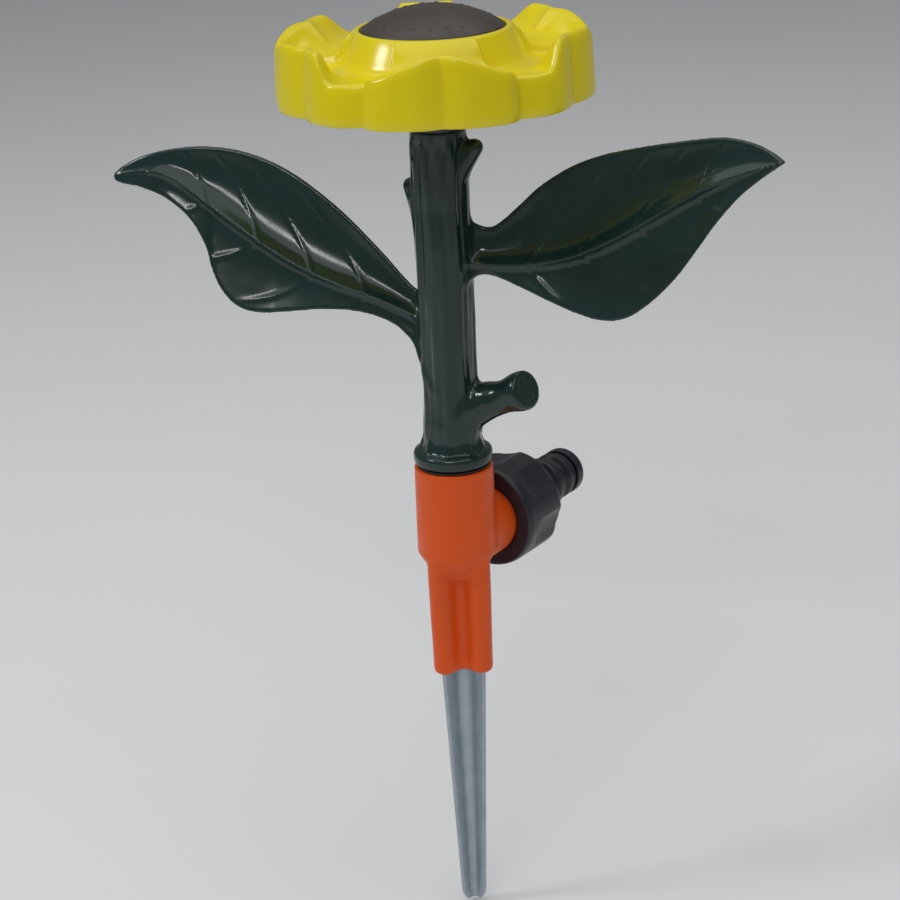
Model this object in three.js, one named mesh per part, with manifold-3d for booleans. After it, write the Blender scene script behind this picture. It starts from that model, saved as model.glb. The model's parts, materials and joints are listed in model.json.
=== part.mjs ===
// A decorative flower sprinkler on a ground spike, built as an assembly of separate pieces.
// Millimetres, +Z up. The origin is on the stem's axis at the ground line, where the spike leaves its
// holder. The hose inlet points along +Y.
import * as THREE from 'three';
import { mergeVertices } from 'three/addons/utils/BufferGeometryUtils.js';
import Module from 'manifold-3d';

const wasm = await Module();
wasm.setup();

// ---- driving dimensions ----
const GAP = 0.3;                  // clearance between neighbouring pieces
const ROUND_SIDES = 28;           // facets of the large round pieces
const SMALL_SIDES = 16;           // facets of seals and bores
const NUT_SIDES = 36;

const HOLDER_TURN = -9.5;         // degrees: how far the spike and its holder stand turned on the body
const SPIKE_TIP_Z = -101;
const SPIKE_BLUNT = 4;            // length of the snubbed tip
const SPIKE_ARM_TOP = 11.9;       // length of one flank of the V-shaped spike at the ground line
const SPIKE_ARM_TIP = 6.7;
const SPIKE_SHEET = 1.6;
const SPIKE_TOP_Z = 30;           // how far the spike reaches up inside the holder
const SPIKE_CORNER = 1.6;         // the V's corner lies this far behind the axis, in X and in Y

const HOLDER_TOP_Z = 38;          // where the holder's ribs meet the cone under the body
const HOLDER_CORE_R = 5.6;
const HOLDER_REACH = 14.5;        // axis to the end of a holder rib
const HOLDER_RIB = 8.8;           // thickness of a holder rib
const HOLDER_ROUND = 1.2;         // rounding of the ribs' lower ends
const CONE_R = 9;                 // the cone's lower end
const BODY_R = 14.4;
const BODY_FOOT_R = 14.8;         // the body widens slightly downwards
const BODY_BOTTOM_Z = 47.5;
const BODY_TOP_Z = 81;
const SOCKET_R = 10.3;
const SOCKET_BOTTOM_Z = 58;
const WATER_R = 5.5;              // the stem's water way
const PORT_R = 7.5;               // the passage from the inlet up into the socket

const INLET_Z = 52.4;
const BOSS_R = 13.5;
const BOSS_END_Y = 19.5;
const THREAD_R = 13.2;            // G 3/4 male thread
const THREAD_END_Y = 31;
const INLET_BORE_R = 8.5;
const FILTER_WALL = 0.9;
const FILTER_START_Y = 20.5;
const FILTER_RIM_R = 12.4;

const NUT_R = 19.7;
const NUT_START_Y = 20;
const NUT_SEAT_Y = 35;
const NUT_END_Y = 46.2;
const NUT_SCOOPS = 6;
const NUT_TURN = 18;              // degrees from the horizontal down to the first hollow flat
const SCOOP_R = 22;               // the hollow flats' radius of curvature
const SCOOP_DEPTH = 2;
const NIPPLE_R = 9.1;
const NIPPLE_COLLAR_R = 9.8;
const NIPPLE_END_Y = 77.5;
const NIPPLE_BORE_R = 4.6;
const NIPPLE_O_RING_Y = 70.4;
const NIPPLE_GROOVE_R = 6;

const STEM_TURN = 16;             // degrees: how far the stem stands turned on the base
const STEM_R = 9.9;
const FLANGE_R = 14.5;
const FLANGE_BOTTOM_Z = 82.3;
const FLANGE_TOP_Z = 87.6;
const SPIGOT_R = 9.7;
const SPIGOT_BOTTOM_Z = 60;
const GROOVE_R = 8;               // bottom of the spigot's grooves
const STEM_O_RING_Z = { stem_o_ring_upper: 76, stem_o_ring_lower: 70 };
const CLIP_Z = 63.6;
const CLIP_R = 11.2;
const CLIP_HALF = 0.7;            // half the retaining ring's thickness
const STEM_SHOULDER_Z = 206;
const NECK_THREAD_R = 8;
const STEM_TOP_Z = 219;

const PETALS = 6;
const PETAL_TURN = -9;            // degrees from the right-hand leaf to the first petal's middle
const FLOWER_BOTTOM_Z = 217;
const PETAL_PEAK_Z = 241.2;
const PETAL_STEPS = 72;           // sections round the flower
const COLLAR_R = 26;
const SHELF_R = 19;               // the ring that the dome and the water cup clamp from both sides
const SHELF_BOTTOM_Z = 234.8;
const SHELF_TOP_Z = 237.7;
const ROSE_R = 24.8;
const ROSE_BASE_Z = 241.3;
const ROSE_TOP_Z = 248.8;
const ROSE_WALL = 2.2;
const NOZZLE_R = 0.6;
const NOZZLE_RINGS = [[0, 1], [6.5, 6], [13, 12]];   // radius and number of holes
const CUP_SCREWS = 3;
const CUP_SCREW_CIRCLE_R = 21.4;
const CUP_R = 18.6;
const CUP_BOTTOM_Z = 206.5;
const CUP_TOP_Z = 236;

// ---- colours ----
const COLOURS = {
  orange: { color: 0xd4561a, roughness: 0.45 },
  green: { color: 0x16302a, roughness: 0.2 },
  yellow: { color: 0xf2e000, roughness: 0.25 },
  brown: { color: 0x51463d, roughness: 0.5 },
  black: { color: 0x23262c, roughness: 0.5 },
  rubber: { color: 0x141414, roughness: 0.8 },
  zinc: { color: 0x9aa3a8, roughness: 0.4, metalness: 0.9 },
  white: { color: 0xdedcd2, roughness: 0.6 },
};

// ---- helpers ----
const radians = THREE.MathUtils.degToRad;

// Turns a closed geometry into a solid whose faces point out.
function solid(geometry) {
  const bare = geometry.clone();
  bare.deleteAttribute('normal');
  bare.deleteAttribute('uv');
  const merged = mergeVertices(bare, 1e-5);
  const points = merged.getAttribute('position').array;
  const index = [...merged.index.array];
  const triangles = [];
  for (let i = 0; i < index.length; i += 3) {
    const [a, b, c] = index.slice(i, i + 3);
    if (a !== b && b !== c && c !== a) triangles.push(a, b, c);
  }
  if (signedVolume(points, triangles) < 0) triangles.reverse();
  return new wasm.Manifold(new wasm.Mesh({
    numProp: 3,
    vertProperties: new Float32Array(points),
    triVerts: new Uint32Array(triangles),
  }));
}

function signedVolume(points, triangles) {
  const corner = (i) => new THREE.Vector3().fromArray(points, triangles[i] * 3);
  let volume = 0;
  for (let i = 0; i < triangles.length; i += 3) {
    volume += corner(i).dot(corner(i + 1).cross(corner(i + 2))) / 6;
  }
  return volume;
}

function geometryOf(manifold) {
  const mesh = manifold.getMesh();
  const geometry = new THREE.BufferGeometry();
  geometry.setAttribute('position', new THREE.BufferAttribute(new Float32Array(mesh.vertProperties), 3));
  geometry.setIndex(new THREE.BufferAttribute(new Uint32Array(mesh.triVerts), 1));
  geometry.computeVertexNormals();
  return geometry;
}

function piece(name, manifold, colour) {
  const mesh = new THREE.Mesh(geometryOf(manifold), new THREE.MeshStandardMaterial(COLOURS[colour]));
  mesh.name = name;
  return mesh;
}

// A solid of revolution about Z from [radius, height] pairs that start and end on the axis, or close.
function turned(profile, sides = ROUND_SIDES) {
  const points = profile.map(([r, z]) => new THREE.Vector2(r, z));
  return solid(new THREE.LatheGeometry(points, sides).rotateX(Math.PI / 2));
}

// The same about the inlet's axis: the pairs are [radius, distance along +Y].
function turnedAlongInlet(profile, sides = ROUND_SIDES) {
  const points = profile.map(([r, y]) => new THREE.Vector2(r, y));
  return solid(new THREE.LatheGeometry(points, sides).translate(0, 0, INLET_Z));
}

function rod(radius, low, high, sides = SMALL_SIDES) {
  return turned([[0, low], [radius, low], [radius, high], [0, high]], sides);
}

function inletRod(radius, start, end, sides = SMALL_SIDES) {
  return turnedAlongInlet([[0, start], [radius, start], [radius, end], [0, end]], sides);
}

function ringProfile(inner, outer, low, high) {
  return [[inner, low], [outer, low], [outer, high], [inner, high], [inner, low]];
}

function roundRingProfile(centreRadius, thickness, height, sides = 6) {
  return Array.from({ length: sides + 1 }, (_, i) => {
    const angle = (i % sides) / sides * 2 * Math.PI;
    return [centreRadius + thickness * Math.cos(angle), height + thickness * Math.sin(angle)];
  });
}

// A skin through equal rings of points. It closes on itself, or the first and last rings are capped;
// flatten says which two coordinates a cap is flat in.
function lofted(rings, { closed = false, flatten = (p) => [p.x, p.y] } = {}) {
  const count = rings[0].length;
  const positions = rings.flat().flatMap((p) => [p.x, p.y, p.z]);
  const index = [];
  const spans = closed ? rings.length : rings.length - 1;
  for (let i = 0; i < spans; i++) {
    const here = i * count;
    const there = ((i + 1) % rings.length) * count;
    for (let j = 0; j < count; j++) {
      const next = (j + 1) % count;
      index.push(here + j, here + next, there + next);
      index.push(here + j, there + next, there + j);
    }
  }
  if (!closed) {
    const outline = rings[0].map((p) => new THREE.Vector2(...flatten(p)));
    const last = (rings.length - 1) * count;
    const clockwise = THREE.ShapeUtils.isClockWise(outline);
    for (const triangle of THREE.ShapeUtils.triangulateShape(outline, [])) {
      const [a, b, c] = clockwise ? triangle : triangle.toReversed();
      index.push(a, b, c);
      index.push(last + a, last + c, last + b);
    }
  }
  const geometry = new THREE.BufferGeometry();
  geometry.setAttribute('position', new THREE.Float32BufferAttribute(positions, 3));
  geometry.setIndex(index);
  return geometry;
}

const vector = (x, y, z) => new THREE.Vector3(x, y, z);
const mix = THREE.MathUtils.lerp;
const smooth = THREE.MathUtils.smoothstep;

// ---- base: spike, holder body, filter ----

// The spike's section: two flanks at a right angle, open towards +X -Y, with a soft inner corner.
function spikeSection(arm, sheet, grow, z) {
  const back = SPIKE_CORNER + grow;
  const inner = sheet - SPIKE_CORNER + grow;
  const end = arm - SPIKE_CORNER + grow;
  const soft = 2 - grow;
  return [
    vector(-back + soft, back, z), vector(end, back, z), vector(end, -inner, z),
    vector(inner + 2 * soft, -inner, z), vector(inner + 0.6 * soft, -inner - 0.6 * soft, z),
    vector(inner, -inner - 2 * soft, z),
    vector(inner, -end, z), vector(-back, -end, z), vector(-back, back - soft, z),
  ];
}

function groundSpike() {
  const arm = (z) => mix(SPIKE_ARM_TOP, SPIKE_ARM_TIP, Math.max(0, -z) / -SPIKE_TIP_Z);
  const heights = [SPIKE_TIP_Z, SPIKE_TIP_Z + SPIKE_BLUNT, 0, SPIKE_TOP_Z];
  const rings = heights.map((z) => spikeSection(arm(z), SPIKE_SHEET, 0, z));
  const spike = piece('ground_spike', solid(lofted(rings)), 'zinc');
  spike.rotation.z = radians(HOLDER_TURN);
  return spike;
}

// Four upright ribs in a cross, which hold the spike.
function holderRibs() {
  const long = HOLDER_REACH - HOLDER_RIB / 2;
  const half = HOLDER_RIB / 2;
  const outline = new THREE.Shape();
  outline.moveTo(-long, -half);
  outline.lineTo(long, -half);
  outline.absarc(long, 0, half, -Math.PI / 2, Math.PI / 2);
  outline.lineTo(-long, half);
  outline.absarc(-long, 0, half, Math.PI / 2, 3 * Math.PI / 2);
  const rib = new THREE.ExtrudeGeometry(outline, {
    depth: HOLDER_TOP_Z + 4, curveSegments: 6, bevelEnabled: true, bevelSegments: 2,
    bevelThickness: HOLDER_ROUND, bevelSize: HOLDER_ROUND, bevelOffset: -HOLDER_ROUND,
  });
  rib.translate(0, 0, HOLDER_ROUND);
  const along = solid(rib);
  const across = solid(rib.clone().rotateZ(Math.PI / 2));
  return along.add(across).add(rod(HOLDER_CORE_R, 1, HOLDER_TOP_Z, ROUND_SIDES)).rotate([0, 0, HOLDER_TURN]);
}

function baseBody() {
  const housing = turned([
    [0, HOLDER_TOP_Z], [CONE_R, HOLDER_TOP_Z], [BODY_FOOT_R, BODY_BOTTOM_Z], [BODY_R, BODY_TOP_Z],
    [0, BODY_TOP_Z],
  ]);
  const boss = turnedAlongInlet([
    [0, 0], [BOSS_R, 0], [BOSS_R, BOSS_END_Y], [THREAD_R, BOSS_END_Y],
    [THREAD_R, THREAD_END_Y - 1], [THREAD_R - 1, THREAD_END_Y], [0, THREAD_END_Y],
  ]);
  const clipGroove = turned(ringProfile(SOCKET_R - 1, CLIP_R + 0.4, CLIP_Z - 1.3, CLIP_Z + 1.3));
  const spikeSlot = [-5, SPIKE_TOP_Z + GAP].map((z) => spikeSection(SPIKE_ARM_TOP, SPIKE_SHEET, GAP, z));
  const body = housing.add(boss).add(holderRibs())
    .subtract(rod(SOCKET_R, SOCKET_BOTTOM_Z, BODY_TOP_Z + 5, ROUND_SIDES))
    .subtract(clipGroove)
    .subtract(rod(PORT_R, INLET_Z, SOCKET_BOTTOM_Z + 1))
    .subtract(inletRod(INLET_BORE_R, -3, THREAD_END_Y + 5))
    .subtract(solid(lofted(spikeSlot)).rotate([0, 0, HOLDER_TURN]));
  return piece('base_body', body, 'orange');
}

// A flat washer that the stem's flange turns on.
function flangeWasher() {
  const profile = ringProfile(SOCKET_R, BODY_R - 0.9, BODY_TOP_Z + GAP, FLANGE_BOTTOM_Z - GAP);
  return piece('flange_washer', turned(profile), 'rubber');
}

// A thimble strainer that sits in the inlet, with its rim clamped by the connector's washer.
function inletFilter() {
  const outer = INLET_BORE_R - 0.5;
  const inner = outer - FILTER_WALL;
  const rimStart = THREAD_END_Y + GAP;
  const thimble = turnedAlongInlet([
    [0, FILTER_START_Y], [outer, FILTER_START_Y], [outer, rimStart], [FILTER_RIM_R, rimStart],
    [FILTER_RIM_R, rimStart + 0.8], [inner, rimStart + 0.8], [inner, FILTER_START_Y + 1],
    [0, FILTER_START_Y + 1],
  ], SMALL_SIDES);
  const slotLength = 6.5;
  const slotWidth = 1.4;
  const slot = solid(new THREE.BoxGeometry(2 * outer + 4, slotLength, slotWidth)
    .translate(0, FILTER_START_Y + 5.5, 0));
  const slots = [0, 60, 120].map((angle) => slot.rotate([0, angle, 0]).translate([0, 0, INLET_Z]));
  const strainer = slots.reduce((rest, cut) => rest.subtract(cut), thimble)
    .subtract(inletRod(1.2, FILTER_START_Y - 1, FILTER_START_Y + 2, 8));
  return piece('inlet_filter', strainer, 'white');
}

// ---- hose connector ----

function connectorWasher() {
  const profile = ringProfile(NIPPLE_BORE_R + 3.6, 12.6, THREAD_END_Y + 1.5, NUT_SEAT_Y - GAP);
  return piece('connector_washer', turnedAlongInlet(profile), 'rubber');
}

// A coupling nut with hollow flats and a quick-connect nipple, in one moulding.
function tapConnector() {
  const nut = turnedAlongInlet([
    [0, NUT_START_Y], [NUT_R - 1, NUT_START_Y], [NUT_R, NUT_START_Y + 1], [NUT_R, NUT_END_Y - 3.5],
    [NUT_R - 3.5, NUT_END_Y], [0, NUT_END_Y],
  ], NUT_SIDES);
  const scoopLength = 30;
  const scoop = new THREE.CylinderGeometry(SCOOP_R, SCOOP_R, scoopLength, 40)
    .translate(NUT_R + SCOOP_R - SCOOP_DEPTH, NUT_START_Y + 5 + scoopLength / 2, 0);
  const scooped = Array.from({ length: NUT_SCOOPS }, (_, i) => solid(scoop.clone()
    .rotateY(radians(NUT_TURN + 360 * i / NUT_SCOOPS)).translate(0, 0, INLET_Z)))
    .reduce((rest, cut) => rest.subtract(cut), nut);
  const grooveStart = NIPPLE_O_RING_Y - 1.6;
  const grooveEnd = NIPPLE_O_RING_Y + 1.6;
  const nipple = turnedAlongInlet([
    [0, NUT_END_Y - 1], [9.4, NUT_END_Y - 1], [7.6, NUT_END_Y + 2], [7.2, NUT_END_Y + 10],
    [NIPPLE_COLLAR_R, NUT_END_Y + 11.5], [NIPPLE_COLLAR_R, NUT_END_Y + 15], [7, NUT_END_Y + 16.5],
    [7, NUT_END_Y + 19.5], [NIPPLE_R, NUT_END_Y + 20.5], [NIPPLE_R, grooveStart],
    [NIPPLE_GROOVE_R, grooveStart], [NIPPLE_GROOVE_R, grooveEnd], [NIPPLE_R, grooveEnd],
    [NIPPLE_R, NIPPLE_END_Y - 1.3], [NIPPLE_R - 1.4, NIPPLE_END_Y], [0, NIPPLE_END_Y],
  ], SMALL_SIDES);
  const bore = turnedAlongInlet([
    [0, NUT_SEAT_Y - 1], [NIPPLE_BORE_R + 3, NUT_SEAT_Y - 1], [NIPPLE_BORE_R + 3, NUT_SEAT_Y + 3],
    [NIPPLE_BORE_R, NUT_SEAT_Y + 6], [NIPPLE_BORE_R, NIPPLE_END_Y + 1], [0, NIPPLE_END_Y + 1],
  ], SMALL_SIDES);
  const body = scooped.add(nipple)
    .subtract(inletRod(THREAD_R + GAP, NUT_START_Y - 1, NUT_SEAT_Y, ROUND_SIDES))
    .subtract(bore);
  return piece('tap_connector', body, 'black');
}

function nippleORing() {
  const ring = turnedAlongInlet(roundRingProfile(NIPPLE_GROOVE_R + 1.5, 1.15, NIPPLE_O_RING_Y), SMALL_SIDES);
  return piece('nipple_o_ring', ring, 'rubber');
}

// ---- stem ----

// A leaf is a run of stations from the stem out to the tip. Each gives the upper edge, the ridge of the
// midrib and the lower edge as distance from the axis and height.
const LEFT_LEAF = {
  side: -1,
  stations: [
    { upper: [3, 141], rib: [3, 134], lower: [3, 120] },
    { upper: [13, 147], rib: [13, 138], lower: [12, 129.5] },
    { upper: [26, 160], rib: [27, 143], lower: [27, 136.5] },
    { upper: [42, 173.8], rib: [45, 149], lower: [45, 137.6] },
    { upper: [60, 186.2], rib: [62, 157], lower: [60, 136.8] },
    { upper: [76, 193.2], rib: [77, 167], lower: [74, 137.8] },
    { upper: [91, 195.6], rib: [89, 175.5], lower: [85.5, 148] },
    { upper: [103, 195], rib: [99, 183], lower: [91.5, 164] },
    { upper: [114, 192.3], rib: [108, 186.3], lower: [102.5, 175] },
    { upper: [122, 189], rib: [120, 186], lower: [118, 180.8] },
    { upper: [127.2, 185], rib: [127, 184.2], lower: [126.8, 183.2] },
  ],
};
const RIGHT_LEAF = {
  side: 1,
  stations: [
    { upper: [3, 169], rib: [3, 161], lower: [3, 152] },
    { upper: [15, 169.5], rib: [15, 157], lower: [12, 152.5] },
    { upper: [25, 176], rib: [30, 158], lower: [25, 151.5] },
    { upper: [39, 187], rib: [45, 161], lower: [37, 147.5] },
    { upper: [52, 193.5], rib: [56, 165.5], lower: [50, 142.5] },
    { upper: [67, 198], rib: [70, 173.5], lower: [65, 142] },
    { upper: [81, 201.5], rib: [83, 181.5], lower: [80, 149.5] },
    { upper: [94, 204], rib: [97, 188.5], lower: [92.5, 164] },
    { upper: [106, 204], rib: [108, 193], lower: [102.5, 182] },
    { upper: [115, 201.5], rib: [115, 196], lower: [112.5, 190.5] },
    { upper: [122, 197.8], rib: [121.5, 197.2], lower: [121, 196.5] },
  ],
};
const LEAF_LEAN = 0.32;           // how far the blade leans back for each millimetre of height
const LEAF_SHEET = 2.6;
const LEAF_SCOOP = 2.6;           // depth of the hollow in each half of the blade
const MIDRIB_RISE = 1.5;

function leafRing(side, { upper, rib, lower }, fullness) {
  const steps = 5;
  const front = [];
  for (const [from, to] of [[upper, rib], [rib, lower]]) {
    for (let i = from === upper ? 0 : 1; i <= steps; i++) {
      const t = i / steps;
      const x = side * mix(from[0], to[0], t);
      const z = mix(from[1], to[1], t);
      const lean = (z - rib[1]) * LEAF_LEAN;
      const hollow = LEAF_SCOOP * fullness * Math.sin(Math.PI * t);
      const rise = MIDRIB_RISE * fullness * ridge(from === upper ? 1 - t : t);
      front.push(vector(x, lean + hollow - rise, z));
    }
  }
  const sheet = LEAF_SHEET * Math.max(0.35, fullness);
  const back = front.map((p) => vector(p.x, p.y + sheet, p.z)).reverse();
  return [...front, ...back];
}

// One at the midrib, nothing a little way off it.
function ridge(t) {
  return 1 - smooth(t, 0, 0.35);
}

function leaf({ side, stations }) {
  const last = stations.length - 1;
  const rings = stations.map((station, i) => {
    const fullness = Math.min(1, 0.9 * i / 2 + 0.1, 1.2 * (last - i) / 2 + 0.05);
    return leafRing(side, station, fullness);
  });
  return solid(lofted(rings, { flatten: (p) => [p.y, p.z] }));
}

// A tapering round limb from one point to another.
function limb(from, to, fromRadius, toRadius, sides = 12) {
  const axis = to.clone().sub(from);
  const shape = new THREE.CylinderGeometry(toRadius, fromRadius, axis.length(), sides);
  const turn = new THREE.Quaternion().setFromUnitVectors(vector(0, 1, 0), axis.clone().normalize());
  return solid(shape.applyQuaternion(turn).translate(...from.clone().add(to).multiplyScalar(0.5)));
}

// The stub of a cut branch, which flares a little at its end.
function cutBranch() {
  return limb(vector(2, 0, 98), vector(14, -0.5, 107), 9.2, 6.4)
    .add(limb(vector(11, -0.3, 105), vector(26, -2.6, 111), 6.4, 6.5))
    .add(limb(vector(22, -1.9, 109.3), vector(30, -3.1, 112.7), 6.4, 7.5));
}

function stem() {
  const core = turned([
    [0, SPIGOT_BOTTOM_Z], [SPIGOT_R - 0.8, SPIGOT_BOTTOM_Z], [SPIGOT_R, SPIGOT_BOTTOM_Z + 0.8],
    [SPIGOT_R, FLANGE_BOTTOM_Z], [FLANGE_R - 0.5, FLANGE_BOTTOM_Z], [FLANGE_R, FLANGE_BOTTOM_Z + 0.5],
    [FLANGE_R, FLANGE_TOP_Z - 1.8], [FLANGE_R - 0.6, FLANGE_TOP_Z - 0.5], [FLANGE_R - 1.8, FLANGE_TOP_Z],
    [11.2, FLANGE_TOP_Z + 1], [10.6, FLANGE_TOP_Z + 3.4], [10, 100], [STEM_R, 122], [STEM_R, 165],
    [9.6, 178], [STEM_R, 190], [STEM_R, STEM_SHOULDER_Z], [NECK_THREAD_R, STEM_SHOULDER_Z],
    [NECK_THREAD_R, STEM_TOP_Z], [0, STEM_TOP_Z],
  ]);
  const knots = [
    limb(vector(7, 0, 191), vector(13.6, 0, 199.6), 5, 3, 8),
    limb(vector(-5, 0, 172), vector(-10.8, 0, 185.4), 5.5, 3, 8),
  ];
  let body = core.add(cutBranch()).add(leaf(LEFT_LEAF)).add(leaf(RIGHT_LEAF));
  for (const knot of knots) body = body.add(knot);
  body = body.subtract(rod(WATER_R, SPIGOT_BOTTOM_Z - 2, STEM_TOP_Z + 2));
  for (const height of Object.values(STEM_O_RING_Z)) {
    body = body.subtract(turned(ringProfile(GROOVE_R, SPIGOT_R + 1, height - 1.25, height + 1.25)));
  }
  const clipHalf = CLIP_HALF + 0.4;
  body = body.subtract(turned(ringProfile(GROOVE_R, SPIGOT_R + 1, CLIP_Z - clipHalf, CLIP_Z + clipHalf)));
  return piece('stem', body, 'green');
}

function stemORings() {
  return Object.entries(STEM_O_RING_Z).map(([name, height]) => piece(
    name, turned(roundRingProfile(GROOVE_R + 1.05, 0.9, height), SMALL_SIDES), 'rubber'));
}

// A split ring that springs out under a step in the socket and keeps the stem from lifting out.
function stemClip() {
  const ring = turned(ringProfile(GROOVE_R + 0.4, CLIP_R, CLIP_Z - CLIP_HALF, CLIP_Z + CLIP_HALF));
  const split = solid(new THREE.BoxGeometry(8, 5, 4).translate(10, 0, CLIP_Z));
  return piece('stem_retaining_ring', ring.subtract(split), 'zinc');
}

// ---- flower head ----

// Where a bearing falls on its petal: the angle off the petal's middle, whether it is an upper one,
// and whether it lies between two petals at one side, or on the far flank of an upper petal.
function onPetal(degrees) {
  const span = 360 / PETALS;
  const number = Math.floor((degrees + span / 2) / span);
  const upper = Math.abs(number) % 2 === 1;
  const lap = (degrees + 360) % 360;
  return {
    away: Math.abs(degrees - number * span), upper,
    atSide: lap % 180 < span, farFlank: upper && lap > span && lap < 180,
  };
}

function wallRadius(degrees) {
  const { away, upper, atSide } = onPetal(degrees);
  const lobe = 2.5 * Math.sin(Math.PI * Math.min(1, away / 30)) + (atSide ? 0.7 * smooth(away, 5, 25) : 0);
  return upper ? 52 + lobe + 1.2 * smooth(away, 15, 30) : 51.5 + lobe - 1.8 * smooth(away, 15, 30);
}

// The front petal falls away evenly, and its neighbours have a broad crest that drops steeply beside it.
// The dips at the two sides are shallow.
function rimHeight(degrees) {
  const { away, upper, atSide, farFlank } = onPetal(degrees);
  if (atSide) return PETAL_PEAK_Z - 4.5 * smooth(away, upper ? 3 : 12, 30);
  if (farFlank) return PETAL_PEAK_Z - 8.2 * smooth(away, 13, 29);
  return PETAL_PEAK_Z - (upper ? 7.8 * smooth(away, 2, 29) : 9.4 * smooth(away, 9, 16.5));
}

// One cross-section through the flower, from the wall's foot over the rim to the dome's seat and back
// under the dished floor.
function petalSection(degrees) {
  const radius = wallRadius(degrees);
  const rim = rimHeight(degrees);
  const floor = onPetal(degrees).upper ? 232.2 : 230;
  const dished = Math.min(floor + 0.6, rim - 1);
  const underside = 227.5;
  return [
    [radius + 0.6, FLOWER_BOTTOM_Z], [radius + 1, FLOWER_BOTTOM_Z + 1.5], [radius, rim - 1],
    [radius - 1, rim], [radius - 2.2, rim - 0.4], [radius - 5.5, dished], [38, floor - 0.6],
    [31, floor], [COLLAR_R + 1.6, ROSE_BASE_Z - 0.8], [COLLAR_R, ROSE_BASE_Z],
    [ROSE_R + 0.5, ROSE_BASE_Z - 1], [ROSE_R + 0.5, SHELF_TOP_Z], [SHELF_R, SHELF_TOP_Z], [SHELF_R, SHELF_BOTTOM_Z],
    [ROSE_R + 0.5, SHELF_BOTTOM_Z], [28, underside], [radius - 8, underside],
    [radius - 1.4, underside - 1.5], [radius - 1.2, FLOWER_BOTTOM_Z],
  ];
}

function flowerShell() {
  const rings = Array.from({ length: PETAL_STEPS }, (_, i) => {
    const degrees = 360 * ((i + 0.5) / PETAL_STEPS - 0.5 / PETALS);
    const angle = radians(degrees + PETAL_TURN);
    return petalSection(degrees).map(([r, z]) => vector(r * Math.cos(angle), r * Math.sin(angle), z));
  });
  let shell = solid(lofted(rings, { closed: true }));
  for (const hole of screwHoles(SHELF_BOTTOM_Z - 1, SHELF_TOP_Z + 1)) shell = shell.subtract(hole);
  return piece('flower_shell', shell, 'yellow');
}

function screwSpots() {
  return Array.from({ length: CUP_SCREWS }, (_, i) => {
    const angle = 2 * Math.PI * i / CUP_SCREWS + radians(30);
    return [CUP_SCREW_CIRCLE_R * Math.cos(angle), CUP_SCREW_CIRCLE_R * Math.sin(angle), 0];
  });
}

function screwHoles(low, high) {
  return screwSpots().map((spot) => rod(1.8, low, high, 8).translate(spot));
}

// The perforated dome that throws the water.
function sprayRose() {
  const rise = ROSE_TOP_Z - ROSE_BASE_Z;
  const sphere = (ROSE_R * ROSE_R + rise * rise) / (2 * rise);
  const cap = (r, drop) => ROSE_TOP_Z - drop - sphere + Math.sqrt(sphere * sphere - r * r);
  const outside = [22, 18, 13, 8, 4].map((r) => [r, cap(r, 0)]);
  const inside = [4, 9, 14].map((r) => [r, cap(r, ROSE_WALL)]);
  const foot = SHELF_TOP_Z + GAP;
  const footBore = 17;
  let rose = turned([
    [footBore, foot], [ROSE_R, foot], [ROSE_R, ROSE_BASE_Z], ...outside, [0, ROSE_TOP_Z],
    [0, ROSE_TOP_Z - ROSE_WALL], ...inside, [footBore, cap(footBore, ROSE_WALL) - 1], [footBore, foot],
  ]);
  for (const [radius, count] of NOZZLE_RINGS) {
    for (let i = 0; i < count; i++) {
      const angle = 2 * Math.PI * i / count;
      const spot = [radius * Math.cos(angle), radius * Math.sin(angle), 0];
      rose = rose.subtract(rod(NOZZLE_R, foot - 2, ROSE_TOP_Z + 2, 6).translate(spot));
    }
  }
  for (const hole of screwHoles(foot - 1, foot + 3)) rose = rose.subtract(hole);
  return piece('spray_rose', rose, 'brown');
}

function roseSeal() {
  const profile = ringProfile(15.4, CUP_R, CUP_TOP_Z + GAP, SHELF_TOP_Z);
  return piece('rose_seal', turned(profile, SMALL_SIDES), 'rubber');
}

// The chamber that feeds the dome; it screws onto the stem's top.
function waterCup() {
  const chamberR = 14.6;
  const neckR = 12;
  const flangeR = 24.4;
  const flangeTop = SHELF_BOTTOM_Z - 0.4;
  const flangeBottom = flangeTop - 3.2;
  const boreR = NECK_THREAD_R + GAP;
  const neckTop = STEM_TOP_Z + 2;
  let cup = turned([
    [boreR, CUP_BOTTOM_Z], [neckR, CUP_BOTTOM_Z], [neckR, neckTop], [CUP_R, 225], [CUP_R, flangeBottom],
    [flangeR, flangeBottom], [flangeR, flangeTop], [CUP_R, flangeTop], [CUP_R, CUP_TOP_Z],
    [chamberR, CUP_TOP_Z], [chamberR, 226], [9, 223.6], [WATER_R, 223.6], [WATER_R, neckTop],
    [boreR, neckTop], [boreR, CUP_BOTTOM_Z],
  ]);
  for (const hole of screwHoles(flangeBottom - 1, CUP_TOP_Z)) cup = cup.subtract(hole);
  return piece('water_cup', cup, 'black');
}

function cupScrews() {
  const headBottom = 228.4;
  const headTop = 230.9;
  const crossSlot = [[4, 0.8], [0.8, 4]].map(([x, y]) => solid(new THREE.BoxGeometry(x, y, 1.6)
    .translate(0, 0, headBottom)));
  const screw = turned([
    [0, headBottom], [2.4, headBottom], [2.8, headBottom + 1.2], [2.8, headTop], [1.4, headTop],
    [1.4, SHELF_TOP_Z + 2], [0.6, SHELF_TOP_Z + 2.8], [0, SHELF_TOP_Z + 2.8],
  ], 10).subtract(crossSlot[0]).subtract(crossSlot[1]);
  return screwSpots().map((spot, i) => piece(`cup_screw_${i + 1}`, screw.translate(spot), 'zinc'));
}

function headWasher() {
  const profile = ringProfile(WATER_R, NECK_THREAD_R - 0.2, STEM_TOP_Z + GAP, STEM_TOP_Z + 1.7);
  return piece('head_washer', turned(profile, SMALL_SIDES), 'rubber');
}

// ---- assembly ----

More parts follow.
